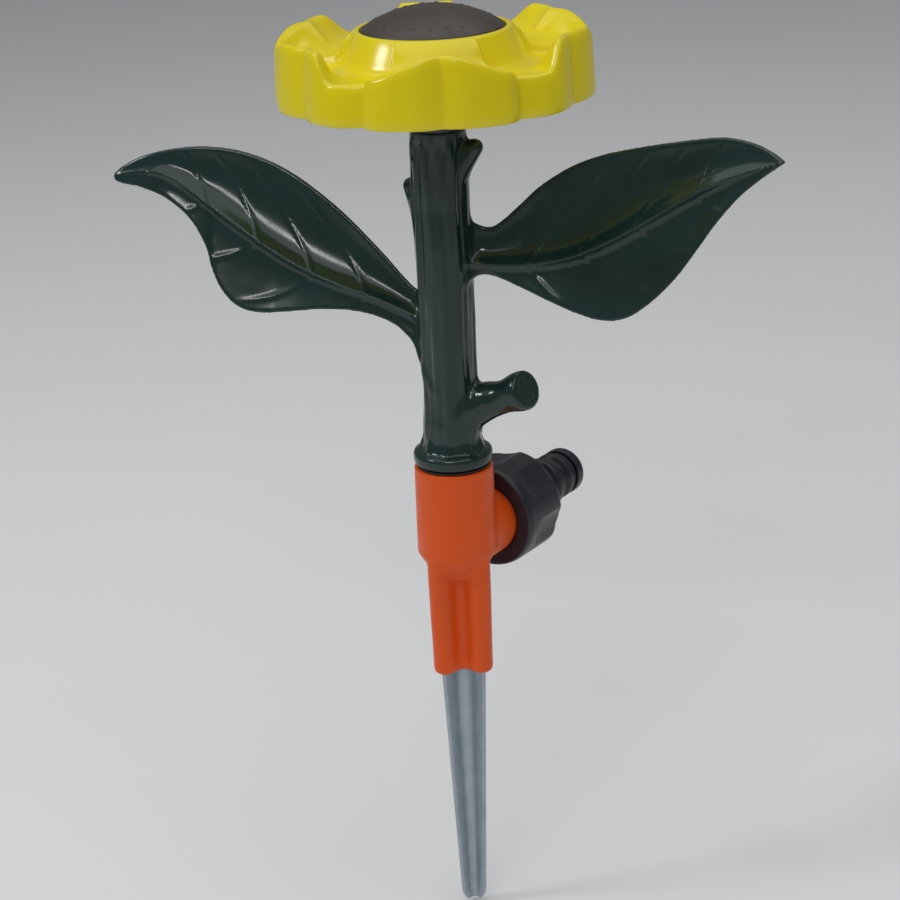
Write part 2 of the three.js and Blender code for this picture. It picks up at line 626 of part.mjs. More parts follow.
const base = new THREE.Group();
base.add(baseBody(), groundSpike(), flangeWasher(), inletFilter());

const connector = new THREE.Group();
connector.add(connectorWasher(), tapConnector(), nippleORing());

const stemAssembly = new THREE.Group();
stemAssembly.add(stem(), ...stemORings(), stemClip());
stemAssembly.add(flowerShell(), sprayRose(), roseSeal(), waterCup(), ...cupScrews(), headWasher());
stemAssembly.rotation.z = radians(STEM_TURN);

const sprinkler = new THREE.Group();
sprinkler.add(base, connector, stemAssembly);

export default sprinkler;
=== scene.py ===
"""Looks of the flower sprinkler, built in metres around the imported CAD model."""
import json
import math

import bmesh
import bpy
import numpy as np
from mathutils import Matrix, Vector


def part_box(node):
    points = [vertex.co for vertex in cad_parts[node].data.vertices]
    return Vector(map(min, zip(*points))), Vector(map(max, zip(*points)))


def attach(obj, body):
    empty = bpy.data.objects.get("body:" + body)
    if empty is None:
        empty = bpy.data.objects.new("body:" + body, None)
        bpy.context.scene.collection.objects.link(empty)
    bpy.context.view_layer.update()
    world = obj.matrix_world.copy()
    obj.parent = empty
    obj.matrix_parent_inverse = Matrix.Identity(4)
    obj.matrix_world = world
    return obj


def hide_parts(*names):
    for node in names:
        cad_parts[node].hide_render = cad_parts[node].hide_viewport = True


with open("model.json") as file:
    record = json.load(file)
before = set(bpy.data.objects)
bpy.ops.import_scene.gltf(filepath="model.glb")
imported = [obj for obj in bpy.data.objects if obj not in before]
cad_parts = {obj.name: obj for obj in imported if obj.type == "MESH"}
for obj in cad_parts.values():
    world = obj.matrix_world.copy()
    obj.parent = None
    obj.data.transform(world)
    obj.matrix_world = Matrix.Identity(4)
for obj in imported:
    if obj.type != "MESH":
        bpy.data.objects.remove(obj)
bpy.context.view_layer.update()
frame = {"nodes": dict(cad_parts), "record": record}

import openvdb
from mathutils import Matrix, Vector

MM = 0.001
FULL_TURN = 2 * math.pi
SHARP_ANGLE = math.radians(50)

# ---- driving dimensions, in millimetres unless they say otherwise ----
GAP = 0.3                           # clearance between neighbouring pieces
HOLDER_TURN = math.radians(-9.5)    # the spike and its holder stand turned this far on the body
STEM_TURN = math.radians(16)        # the stem stands turned this far on the base
BODY_RADIUS = 14.4
BODY_FOOT_RADIUS = 14.8             # the body widens slightly downwards
BODY_BOTTOM = 47.5
BODY_TOP = 81.0
HOLDER_TOP = 38.0
HOLDER_REACH = 14.5
HOLDER_HALF = 4.4                   # half the thickness of a holder rib
CONE_RADIUS = 9.0                   # the lower end of the cone under the body
SOCKET_RADIUS = 10.3
SOCKET_BOTTOM = 58.0
CLIP_GROOVE_RADIUS = 11.6
PORT_RADIUS = 7.5                   # the passage from the inlet up into the socket
INLET_HEIGHT = 52.4
INLET_BORE = 8.5
BOSS_RADIUS = 13.5
BOSS_END = 19.5
THREAD_RADIUS = 13.2
THREAD_END = 31.0
THREAD_PITCH = 1.814

NUT_START = 20.0
NUT_SEAT = 35.0
NUT_END = 46.2
NUT_RADIUS = 19.7
NUT_SCOOPS = 6
NUT_TURN = math.radians(18)         # from the horizontal down to the first hollow flat
NIPPLE_RADIUS = 9.1
NIPPLE_END = 77.5
NIPPLE_BORE = 4.6
O_RING_AT = 70.4

SPIGOT_RADIUS = 9.7
FLANGE_RADIUS = 14.5
FLANGE_BOTTOM = 82.3
FLANGE_TOP = 87.6
WATER_RADIUS = 5.5
GROOVE_RADIUS = 8.0
CLIP_HEIGHT = 63.6                  # of the retaining ring
SPIGOT_GROOVES = [(76.0, 1.25), (70.0, 1.25), (CLIP_HEIGHT, 1.1)]   # height and half width

PETAL_TURN = math.radians(-9)       # from the right-hand leaf to the first petal's middle
PETAL_SPAN = 30                     # half a petal, in degrees
UPPER_SPAN = 28.7                   # an upper petal reaches this far each side of its middle
FLOWER_BOTTOM = 217.0
PETAL_PEAK = 241.2
UPPER_FLOOR = 232.4                 # the dished floor behind an upper petal, and behind a lower one
LOWER_FLOOR = 229.8
SIDE_DIP = 4.5                      # how far the rim drops between two petals at the flower's sides
CREASE_DEPTH = 0.5                  # of the groove down a petal's middle
CREASE_SPREAD = 3.4                 # its half width, in degrees
ROSE_RADIUS = 24.8
ROSE_BASE = 241.3
ROSE_TOP = 248.8
SHELF_RADIUS = 19.0
SHELF_BOTTOM = 234.8                # the ring that the dome and the cup clamp from both sides
SHELF_TOP = 237.7


# ---- mesh helpers ----

def mesh_object(name, vertices, faces, material, body, replaced=(), turned=False):
    """A piece from points in millimetres. A turned piece is given in the stem's own frame."""
    mesh = bpy.data.meshes.new(name)
    points = np.asarray(vertices, float) * MM
    if turned:
        cos, sin = math.cos(STEM_TURN), math.sin(STEM_TURN)
        x, y = points[:, 0].copy(), points[:, 1].copy()
        points[:, 0] = cos * x - sin * y
        points[:, 1] = sin * x + cos * y
    mesh.from_pydata(points.tolist(), [], faces)
    work = bmesh.new()
    work.from_mesh(mesh)
    bmesh.ops.remove_doubles(work, verts=work.verts, dist=1e-7)
    bmesh.ops.recalc_face_normals(work, faces=work.faces)
    work.to_mesh(mesh)
    work.free()
    mesh.polygons.foreach_set("use_smooth", [True] * len(mesh.polygons))
    mesh.set_sharp_from_angle(angle=SHARP_ANGLE)
    mesh.update()
    piece = bpy.data.objects.new(name, mesh)
    bpy.context.scene.collection.objects.link(piece)
    mesh.materials.append(material)
    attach(piece, body)
    if replaced:
        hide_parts(*replaced)
    return piece


def grid_faces(rows, columns, wrap_rows, wrap_columns):
    faces = []
    for i in range(rows if wrap_rows else rows - 1):
        below = i * columns
        above = ((i + 1) % rows) * columns
        for j in range(columns if wrap_columns else columns - 1):
            following = (j + 1) % columns
            faces.append((below + j, below + following, above + following, above + j))
    return faces


def eased(points, closed=True, steps=5):
    """A path through [a, b, round-off] corners, each corner rounded off by that distance."""
    path = []
    count = len(points)
    for i, (a, b, cut) in enumerate(points):
        here = np.array([a, b], float)
        if cut <= 0 or (not closed and i in (0, count - 1)):
            path.append(here)
            continue
        before = np.array(points[i - 1][:2], float)
        after = np.array(points[(i + 1) % count][:2], float)
        to_before, to_after = before - here, after - here
        reach_before, reach_after = np.linalg.norm(to_before), np.linalg.norm(to_after)
        cut = min(cut, 0.49 * reach_before, 0.49 * reach_after)
        start = here + to_before / reach_before * cut
        end = here + to_after / reach_after * cut
        for k in range(steps + 1):
            t = k / steps
            path.append((1 - t) ** 2 * start + 2 * t * (1 - t) * here + t ** 2 * end)
    return np.array(path)


def lathe(profile, closed=True, sides=128, steps=5):
    """Points and faces of a solid of revolution about Z from [radius, height, round-off] corners."""
    path = eased(profile, closed, steps)
    angles = np.arange(sides) / sides * FULL_TURN
    radius = path[None, :, 0]
    points = np.stack([radius * np.cos(angles)[:, None], radius * np.sin(angles)[:, None],
                       np.broadcast_to(path[None, :, 1], (sides, len(path)))], -1)
    return points.reshape(-1, 3), grid_faces(sides, len(path), True, closed)


def along_inlet(points):
    """Turns points made about Z so that their Z runs along the inlet's +Y axis."""
    points = np.asarray(points)
    return np.stack([points[:, 0], points[:, 2], INLET_HEIGHT - points[:, 1]], -1)


def ring_profile(inner, outer, low, high, cut):
    return [(inner, low, cut), (outer, low, cut), (outer, high, cut), (inner, high, cut)]


def o_ring(centre, thickness, height, sides=24):
    turns = np.arange(sides) / sides * FULL_TURN
    return [(centre + thickness * math.cos(t), height + thickness * math.sin(t), 0) for t in turns]


def smooth_step(value, low, high):
    t = np.clip((value - low) / (high - low), 0, 1)
    return t * t * (3 - 2 * t)


def smooth_min(a, b, blend):
    h = np.clip(0.5 + 0.5 * (b - a) / blend, 0, 1)
    return b + (a - b) * h - blend * h * (1 - h)


def smooth_max(a, b, blend):
    return -smooth_min(-a, -b, blend)


class Volume:
    """A box of sample points in which distances to surfaces are worked out and then skinned."""

    def __init__(self, low, high, pitch):
        self.low, self.pitch = np.array(low, float), pitch
        counts = np.ceil((np.array(high) - self.low) / pitch).astype(int) + 1
        axes = [(self.low[i] + pitch * np.arange(counts[i])).astype(np.float32) for i in range(3)]
        self.x = axes[0][:, None, None]
        self.y = axes[1][None, :, None]
        self.z = axes[2][None, None, :]
        self.shape = tuple(counts)

    def skin(self, distance):
        """Vertices in millimetres and quads of the surface where the distance is zero."""
        band = 3 * self.pitch
        values = np.clip(np.broadcast_to(distance, self.shape), -band, band).astype(np.float32)
        grid = openvdb.FloatGrid(band)
        grid.copyFromArray(np.ascontiguousarray(values))
        vertices, quads = grid.convertToQuads(0.0)
        return vertices * self.pitch + self.low, quads.tolist()


def relax(piece, rounds, factor=0.5):
    """Evens out a skinned surface. A few rounds draw it in only very slightly."""
    modifier = piece.modifiers.new("even", "SMOOTH")
    modifier.factor = factor
    modifier.iterations = rounds
    bpy.context.view_layer.objects.active = piece
    bpy.ops.object.select_all(action="DESELECT")
    piece.select_set(True)
    bpy.ops.object.modifier_apply(modifier=modifier.name)


# ---- materials ----

class Nodes:
    """A material's node tree, with short ways to add and join nodes."""

    def __init__(self, name):
        self.material = bpy.data.materials.new(name)
        self.material.use_nodes = True
        self.tree = self.material.node_tree
        self.shader = self.tree.nodes["Principled BSDF"]
        self.place = self.add("ShaderNodeTexCoord").outputs["Object"]

    def add(self, kind, **settings):
        node = self.tree.nodes.new(kind)
        for key, value in settings.items():
            if key in node.inputs:
                node.inputs[key].default_value = value
            else:
                setattr(node, key, value)
        return node

    def link(self, source, target):
        self.tree.links.new(source, target)

    def noise(self, scale, detail=3.0, roughness=0.5, stretch=None):
        node = self.add("ShaderNodeTexNoise", Scale=scale, Detail=detail, Roughness=roughness)
        source = self.place
        if stretch:
            mapping = self.add("ShaderNodeMapping")
            mapping.inputs["Scale"].default_value = stretch
            self.link(source, mapping.inputs["Vector"])
            source = mapping.outputs["Vector"]
        self.link(source, node.inputs["Vector"])
        return node.outputs["Fac"]

    def span(self, value, low, high, to_low, to_high):
        node = self.add("ShaderNodeMapRange")
        for key, number in (("From Min", low), ("From Max", high), ("To Min", to_low), ("To Max", to_high)):
            node.inputs[key].default_value = number
        self.link(value, node.inputs["Value"])
        return node.outputs["Result"]

    def mix(self, factor, one, other):
        node = self.add("ShaderNodeMix", data_type="RGBA")
        self.link(factor, node.inputs["Factor"])
        for socket, colour in ((node.inputs[6], one), (node.inputs[7], other)):
            if isinstance(colour, tuple):
                socket.default_value = (*colour, 1)
            else:
                self.link(colour, socket)
        return node.outputs[2]

    def bump(self, height, distance, strength=1.0, below=None):
        node = self.add("ShaderNodeBump", Strength=strength, Distance=distance)
        self.link(height, node.inputs["Height"])
        if below is not None:
            self.link(below, node.inputs["Normal"])
        return node.outputs["Normal"]


def scaled(colour, factor):
    return tuple(min(1.0, c * factor) for c in colour)


def moulded_plastic(name, colour, roughness, grain=0.00002, grain_scale=2500, wave=0.00012, mottle=0.12,
                    rub=0.0, specular=0.5):
    """Slightly mottled colour, uneven gloss, fine grain and the soft waviness of a moulding."""
    nodes = Nodes(name)
    cloud = nodes.noise(38, 4)
    darker, lighter = scaled(colour, 1 - mottle), scaled(colour, 1 + mottle)
    tint = nodes.mix(nodes.span(cloud, 0.3, 0.7, 0, 1), darker, lighter)
    pointiness = nodes.add("ShaderNodeNewGeometry").outputs["Pointiness"]
    edge = nodes.span(pointiness, 0.51, 0.6, 0, rub)
    tint = nodes.mix(edge, tint, scaled(tuple(c + 0.02 for c in colour), 1.5))
    nodes.link(tint, nodes.shader.inputs["Base Color"])
    smudge = nodes.noise(90, 5, 0.6)
    gloss = nodes.span(smudge, 0.3, 0.75, roughness * 0.8, roughness * 1.35)
    nodes.link(gloss, nodes.shader.inputs["Roughness"])
    wavy = nodes.bump(nodes.noise(70, 1), wave)
    nodes.link(nodes.bump(nodes.noise(grain_scale, 2), grain, below=wavy), nodes.shader.inputs["Normal"])
    nodes.shader.inputs["Specular IOR Level"].default_value = specular
    return nodes.material


def galvanised_steel(name):
    """Zinc-coated sheet: crystal spangle, rolling streaks and dull patches."""
    nodes = Nodes(name)
    spangle = nodes.add("ShaderNodeTexVoronoi", Scale=260.0)
    nodes.link(nodes.place, spangle.inputs["Vector"])
    flake = nodes.span(spangle.outputs["Color"], 0, 1, 0, 1)
    tint = nodes.mix(flake, (0.36, 0.42, 0.47), (0.42, 0.48, 0.53))
    streak = nodes.noise(500, 3, 0.6, stretch=(1, 1, 0.04))
    tint = nodes.mix(nodes.span(streak, 0.45, 0.75, 0, 0.5), tint, (0.30, 0.34, 0.37))
    nodes.link(tint, nodes.shader.inputs["Base Color"])
    dull = nodes.noise(120, 4)
    nodes.link(nodes.span(dull, 0.3, 0.7, 0.28, 0.5), nodes.shader.inputs["Roughness"])
    nodes.shader.inputs["Metallic"].default_value = 0.9
    nodes.link(nodes.bump(streak, 0.00004, below=nodes.bump(nodes.noise(900, 3), 0.00003)),
               nodes.shader.inputs["Normal"])
    return nodes.material


def rubber(name):
    nodes = Nodes(name)
    cloud = nodes.noise(300, 4)
    tint = nodes.mix(cloud, (0.008, 0.008, 0.009), (0.024, 0.024, 0.026))
    nodes.link(tint, nodes.shader.inputs["Base Color"])
    nodes.link(nodes.span(cloud, 0.3, 0.7, 0.55, 0.8), nodes.shader.inputs["Roughness"])
    nodes.link(nodes.bump(nodes.noise(3000, 2), 0.00003), nodes.shader.inputs["Normal"])
    return nodes.material


YELLOW = moulded_plastic("yellow_gloss", (0.80, 0.66, 0.0), 0.2, grain=0.000004, wave=0.00004, mottle=0.03)
GREEN = moulded_plastic("green_gloss", (0.009, 0.030, 0.026), 0.14, grain=0.000004, wave=0.0001, mottle=0.2,
                        rub=0.1)
ORANGE = moulded_plastic("orange_satin", (0.80, 0.092, 0.003), 0.38, grain=0.00001, mottle=0.05, rub=0.1,
                         specular=0.35)
BROWN = moulded_plastic("brown_grained", (0.052, 0.040, 0.032), 0.42, grain=0.00004, grain_scale=1800,
                        mottle=0.2, rub=0.25)
BLACK = moulded_plastic("black_satin", (0.016, 0.019, 0.026), 0.36, grain=0.00002, mottle=0.2, rub=0.15)
WHITE = moulded_plastic("white_satin", (0.68, 0.67, 0.62), 0.4, mottle=0.05)
STEEL = galvanised_steel("galvanised")
RUBBER = rubber("black_rubber")


# ---- camera, light and floor ----

CAMERA_TURN = math.radians(35)
CAMERA_REACH = 0.800                # metres from the stem's axis, along the floor
CAMERA_HEIGHT = 0.387
CAMERA_ASIDE = -0.0011              # metres to the right
CAMERA_PITCH = math.radians(20.6)
CAMERA_ROLL = math.radians(-2.8)
FOCAL_PIXELS = 2340
FRAME_PIXELS = 900
SENSOR = 36.0
WORLD_STRENGTH = 0.2
CEILING_POWER = 16                  # watts
WINDOW_POWER = 3.2
STRIP_POWER = 1.6
LIT_POINT = (0, 0, 0.15)            # what every light is aimed at, in metres
FLOOR_SIZE = 8                      # metres
FLOOR_DROP = 0.002                  # from the spike's tip down to the floor


def add_camera():
    sin, cos = math.sin(CAMERA_TURN), math.cos(CAMERA_TURN)
    level, down = math.cos(CAMERA_PITCH), math.sin(CAMERA_PITCH)
    ahead = Vector((-sin * level, cos * level, -down))
    level_right = Vector((cos, sin, 0))
    level_up = level_right.cross(ahead)
    right = math.cos(CAMERA_ROLL) * level_right + math.sin(CAMERA_ROLL) * level_up
    up = -math.sin(CAMERA_ROLL) * level_right + math.cos(CAMERA_ROLL) * level_up
    data = bpy.data.cameras.new("camera")
    data.sensor_width = SENSOR
    data.lens = FOCAL_PIXELS / FRAME_PIXELS * SENSOR
    data.clip_start = 0.01
    camera = bpy.data.objects.new("camera", data)
    bpy.context.scene.collection.objects.link(camera)
    turn = Matrix((right, up, -ahead)).transposed().to_4x4()
    place = Vector((CAMERA_REACH * sin, -CAMERA_REACH * cos, CAMERA_HEIGHT))
    place += CAMERA_ASIDE * level_right
    camera.matrix_world = Matrix.Translation(place) @ turn
    bpy.context.scene.camera = camera


def add_light(name, place, target, size, power, colour=(1, 1, 1)):
    data = bpy.data.lights.new(name, "AREA")
    data.shape = "RECTANGLE"
    data.size, data.size_y = size
    data.energy = power
    data.color = colour
    light = bpy.data.objects.new(name, data)
    bpy.context.scene.collection.objects.link(light)
    aim = (Vector(target) - Vector(place)).to_track_quat("-Z", "Y")
    light.matrix_world = Matrix.Translation(place) @ aim.to_matrix().to_4x4()


def add_surroundings():
    world = bpy.data.worlds.new("studio")
    world.use_nodes = True
    backdrop = world.node_tree.nodes["Background"]
    backdrop.inputs["Color"].default_value = (0.94, 0.97, 1.0, 1)
    backdrop.inputs["Strength"].default_value = WORLD_STRENGTH
    bpy.context.scene.world = world
    add_light("ceiling", (0.1, -0.1, 1.5), LIT_POINT, (2.2, 2.2), CEILING_POWER)
    add_light("window", (-0.75, -0.75, 0.95), LIT_POINT, (0.28, 0.18), WINDOW_POWER, (0.93, 0.97, 1.0))
    add_light("strip", (0.35, -0.9, 0.9), LIT_POINT, (0.5, 0.06), STRIP_POWER)
    nodes = Nodes("pale_floor")
    tint = nodes.mix(nodes.noise(6, 3), (0.88, 0.88, 0.88), (0.92, 0.92, 0.92))
    nodes.link(tint, nodes.shader.inputs["Base Color"])
    nodes.shader.inputs["Roughness"].default_value = 0.9
    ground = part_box("ground_spike")[0].z - FLOOR_DROP
    bpy.ops.mesh.primitive_plane_add(size=FLOOR_SIZE, location=(0, 0, ground))
    floor = bpy.context.object
    floor.name = "floor"
    floor.data.materials.append(nodes.material)


# ---- flower ----

def petal_angles(degrees):
    """How far each bearing round the flower is off the nearest upper and lower petal's middle."""
    pair = 4 * PETAL_SPAN
    upper_middle = pair * np.floor(degrees / pair) + pair / 2
    lower_middle = pair * np.round(degrees / pair)
    return np.abs(degrees - upper_middle), np.abs(degrees - lower_middle)


def petal_shape(degrees):
    """Wall radius, rim height, floor height and the floor's climb inside the rim, at each bearing."""
    off_upper, off_lower = petal_angles(degrees)
    lap = degrees % 360
    at_side = lap % 180 < 2 * PETAL_SPAN                # between two petals, where the dip is shallow
    far_flank = (lap > 2 * PETAL_SPAN) & (lap < 180)
    crease = CREASE_DEPTH * np.exp(-(off_upper / CREASE_SPREAD) ** 2)
    lobe = np.sin(np.pi * np.clip(off_upper / UPPER_SPAN, 0, 1) ** 0.9)
    upper_wall = 52.4 + 1.9 * lobe - crease - 1.0 * smooth_step(off_upper, 24, 29.5)
    upper_wall += 0.9 * smooth_step(off_upper, 12, 24) + 0.7 * at_side * smooth_step(off_upper, 5, 25)
    even_drop = 7.2 * smooth_step(off_upper, 2, 27) + 1.2 * smooth_step(off_upper, 25, 29.5)
    late_drop = 8.2 * smooth_step(off_upper, 13, 29)
    side_drop = SIDE_DIP * smooth_step(off_upper, 3, 30)
    upper_drop = np.where(at_side, side_drop, np.where(far_flank, late_drop, even_drop))
    lower_crease = CREASE_DEPTH * np.exp(-(off_lower / CREASE_SPREAD) ** 2)
    lower_lobe = np.sin(np.pi * np.clip(off_lower / 31.0, 0, 1))
    lower_wall = 51.8 + 2.3 * lower_lobe - lower_crease - 1.6 * smooth_step(off_lower, 18, 31)
    lower_wall += 0.7 * at_side * smooth_step(off_lower, 5, 25)
    steep_drop = 9.4 * smooth_step(off_lower, 9.5, 16.8)
    steep_drop += 0.5 * np.sin(np.pi * np.clip((off_lower - 13) / 19, 0, 1))
    lower_drop = np.where(at_side, SIDE_DIP * smooth_step(off_lower, 12, 31), steep_drop)
    on_lower = smooth_step(off_upper, UPPER_SPAN - 0.4, UPPER_SPAN + 1.1)
    wall = upper_wall + (lower_wall - upper_wall) * on_lower
    rim = PETAL_PEAK - upper_drop - (lower_drop - upper_drop) * on_lower
    floor = UPPER_FLOOR + (LOWER_FLOOR - UPPER_FLOOR) * on_lower
    upper_climb = 1 - smooth_step(off_upper, 6, 26)
    lower_climb = 1 - smooth_step(off_lower, 8, 18)
    climb = upper_climb + (lower_climb - upper_climb) * on_lower
    return wall, rim, floor, climb


def petal_section(wall, rim, floor, climb):
    """One cross-section: up the wall, over the rim, across the floor, up the collar and back below."""
    inner_foot = min(floor + 0.4 + 3.0 * climb, rim - 0.8)
    return eased([
        (wall + 0.7, FLOWER_BOTTOM, 1.0), (wall + 1.0, FLOWER_BOTTOM + 2.6, 1.2),
        (wall + 0.2, rim - 2.6, 1.4), (wall - 0.9, rim, 1.4), (wall - 3.6, rim - 0.8, 1.8),
        (wall - 6.2 - 2.0 * climb, inner_foot, 2.8),
        (41.0, floor + 0.2 * climb, 4), (33.2, floor + 0.3, 2.6), (30.2, floor + 6.2, 3.6),
        (27.2, ROSE_BASE - 0.1, 1.6), (25.4, ROSE_BASE, 0.4), (25.2, ROSE_BASE - 1.4, 0.2),
        (25.2, SHELF_TOP, 0), (SHELF_RADIUS, SHELF_TOP, 0), (SHELF_RADIUS, SHELF_BOTTOM, 0),
        (25.2, SHELF_BOTTOM, 0), (28, 228, 1.5), (wall - 8, 227.6, 3), (wall - 1.4, 225, 2),
        (wall - 1.2, FLOWER_BOTTOM, 0.5),
    ], steps=4)


def build_flower():
    degrees = np.arange(0, 360, 0.6) - PETAL_SPAN
    rows = []
    for angle, *shape in zip(np.radians(degrees) + PETAL_TURN, *petal_shape(degrees)):
        section = petal_section(*shape)
        across = section[:, 0]
        rows.append(np.stack([across * math.cos(angle), across * math.sin(angle), section[:, 1]], -1))
    mesh_object("petals", np.concatenate(rows), grid_faces(len(rows), len(rows[0]), True, True), YELLOW,
                "stem_and_head", ["flower_shell"], turned=True)


NOZZLE_RINGS = [(20.6, 24, 1.6), (13.2, 15, 9.0), (6.6, 8, 4.0)]   # radius, nozzles, turn in degrees
NOZZLE_RISE = 0.34                  # height of the raised lip round a nozzle
NOZZLE_LIP = 0.72                   # the lip's radius
NOZZLE_DEPTH = 1.1
NOZZLE_RADIUS = 0.36


def build_rose():
    rise = ROSE_TOP - ROSE_BASE
    sphere = (ROSE_RADIUS ** 2 + rise ** 2) / (2 * rise)
    middle, edge = [0.0, 0.25, 0.45, 0.7, 1.0, 1.5], [24.3, 24.5, 24.7, 24.8]
    radii = np.concatenate([middle, np.arange(2.0, 24.2, 0.2), edge])
    angles = np.arange(0, 720) / 720 * FULL_TURN
    r, a = np.meshgrid(radii, angles)
    x, y = r * np.cos(a), r * np.sin(a)
    z = ROSE_TOP - sphere + np.sqrt(sphere ** 2 - r ** 2)
    z -= 0.35 * smooth_step(r, 24.3, 24.8)
    spots = [(0.0, 0.0)]
    for radius, count, turn in NOZZLE_RINGS:
        for i in range(count):
            angle = i / count * FULL_TURN + math.radians(turn)
            spots.append((radius * math.cos(angle), radius * math.sin(angle)))
    for sx, sy in spots:
        away = np.hypot(x - sx, y - sy)
        lip = NOZZLE_RISE * np.exp(-(away / NOZZLE_LIP) ** 4)
        z += lip - NOZZLE_DEPTH * np.exp(-(away / NOZZLE_RADIUS) ** 4)
    top = np.stack([x, y, z], -1)
    foot = SHELF_TOP + GAP
    under = eased([(ROSE_RADIUS, ROSE_BASE - 1, 0), (ROSE_RADIUS, foot, 0.3), (17, foot, 0.2),
                   (17, ROSE_TOP - 6.4, 0.6), (14, ROSE_TOP - 4.9, 0), (9, ROSE_TOP - 3.4, 0),
                   (4, ROSE_TOP - 2.4, 0), (0, ROSE_TOP - 2.2, 0)], closed=False, steps=2)
    across = under[None, :, 0]
    skirt = np.stack([across * np.cos(angles)[:, None], across * np.sin(angles)[:, None],
                      np.broadcast_to(under[None, :, 1], (len(angles), len(under)))], -1)
    points = np.concatenate([top, skirt], 1)
    faces = grid_faces(points.shape[0], points.shape[1], True, False)
    mesh_object("dome", points.reshape(-1, 3), faces, BROWN, "stem_and_head", ["spray_rose"],
                turned=True)


# ---- stem ----

STEM_PROFILE = [                      # height and radius, from the spigot up to the threaded neck
    (60.0, 9.0), (60.8, SPIGOT_RADIUS), (FLANGE_BOTTOM, SPIGOT_RADIUS), (86.0, 11.8), (88.6, 11.3),
    (91.5, 10.6), (100, 10.0), (122, 9.8), (165, 9.9), (178, 9.6), (190, 9.8), (206, 9.9),
    (206.3, 8.0), (219, 8.0),
]
LEAVES = [
    {   # the left leaf: distance from the axis and height of its upper edge, midrib and lower edge
        "side": -1,
        "upper": [(3, 141), (13, 147), (26, 159.6), (42, 173.6), (60, 186), (76, 193), (91, 195.6),
                  (104, 195), (115, 192.4), (122.5, 189), (126.8, 185.8), (127.4, 184.2)],
        "rib": [(3, 133), (13, 137.5), (27, 143), (45, 149), (62, 157), (77, 167), (89, 175.5), (99, 182.5),
                (108, 186), (118, 186), (127.4, 184.2)],
        "lower": [(3, 112), (8.5, 121), (15, 129.3), (22, 134.2), (33, 137.2), (46, 137.8), (58, 137),
                  (69, 136.6), (77.5, 138.9), (84, 145), (88, 152.5), (91, 161), (97, 170.2), (106, 177),
                  (116, 180.4), (122.5, 181.2), (126.4, 182.4), (127.4, 184.2)],
    },
    {   # the right leaf
        "side": 1,
        "upper": [(3, 170), (10, 171), (17, 170.5), (25, 176.8), (33, 184.2), (44, 191.2), (56, 196),
                  (72, 199.9), (88, 203), (100, 204.6), (110, 203.4), (117, 200.8), (122.2, 197.6)],
        "rib": [(3, 160), (15, 157.5), (30, 158), (45, 161), (58, 166.5), (72, 174.5), (85, 182.5),
                (97, 189), (107, 193), (115, 195.4), (122.2, 197)],
        "lower": [(3, 151), (9, 152), (17, 153), (28, 149.5), (39, 145.4), (50, 142), (60, 140.6),
                  (69, 142.6), (78, 149), (86, 157.3), (92.8, 166.6), (99.3, 176), (106.6, 184.6), (113.8, 190.8),
                  (122.2, 196.8)],
    },
]
LEAF_LEAN = 0.32                    # the blade leans back this much for each millimetre of height
LEAF_THICKNESS = 2.7
LEAF_SLOPE = 1.12                   # turns a distance along Y into one across the leaning blade
VEINS = 4                           # on each half of a leaf
VEIN_HEIGHT = 0.3
VEIN_START = 30.0                   # the first vein's root, out from the axis
VEIN_STEP = 20.0


def curve_through(points, steps=12):
    """A smooth curve through the points, returned densely."""
    p = np.array(points, float)
    p = np.concatenate([[2 * p[0] - p[1]], p, [2 * p[-1] - p[-2]]])
    t = np.linspace(0, 1, steps, endpoint=False)[:, None]
    parts = []
    for a, b, c, d in zip(p[:-3], p[1:-2], p[2:-1], p[3:]):
        parts.append(0.5 * (2 * b + (c - a) * t + (2 * a - 5 * b + 4 * c - d) * t ** 2
                            + (3 * b - a - 3 * c + d) * t ** 3))
    return np.concatenate(parts + [p[-2:-1]])


def outline_distance(x, z, outline):
    """Signed distance from each point of a flat grid to a closed outline, negative inside."""
    best = np.full(x.shape, np.inf, np.float32)
    inside = np.zeros(x.shape, bool)
    for (ax, az), (bx, bz) in zip(outline, np.roll(outline, -1, axis=0)):
        ex, ez = bx - ax, bz - az
        length = ex * ex + ez * ez
        if length < 1e-9:
            continue
        t = np.clip(((x - ax) * ex + (z - az) * ez) / length, 0, 1)
        best = np.minimum(best, (x - ax - t * ex) ** 2 + (z - az - t * ez) ** 2)
        if az != bz:
            crossing = (az > z) != (bz > z)
            inside ^= crossing & (x < (bx - ax) * (z - az) / (bz - az) + ax)
    return np.where(inside, -1, 1) * np.sqrt(best)


def vein_pattern(out, z, rib_line, upper_line, lower_line):
    """Height of the side veins: each leaves the midrib and curves towards the tip and the edge."""
    height = np.zeros(out.shape, np.float32)
    for k in range(VEINS):
        root = VEIN_START + k * VEIN_STEP
        for edge_line, sign in ((upper_line, 1), (lower_line, -1)):
            across = sign * (z - np.interp(out, rib_line[:, 0], rib_line[:, 1]))
            reach = np.abs(np.interp(out, edge_line[:, 0], edge_line[:, 1])
                           - np.interp(out, rib_line[:, 0], rib_line[:, 1])) + 1e-3
            share = np.clip(across / reach, 0, 1)
            centre = root + 0.75 * np.clip(across, 0, None) + 0.012 * np.clip(across, 0, None) ** 2
            off = (out - centre) * 0.78
            fade = smooth_step(-share, -0.96, -0.7) * (across > 0)
            height = np.maximum(height, np.exp(-(off / 0.8) ** 2) * fade)
    return height


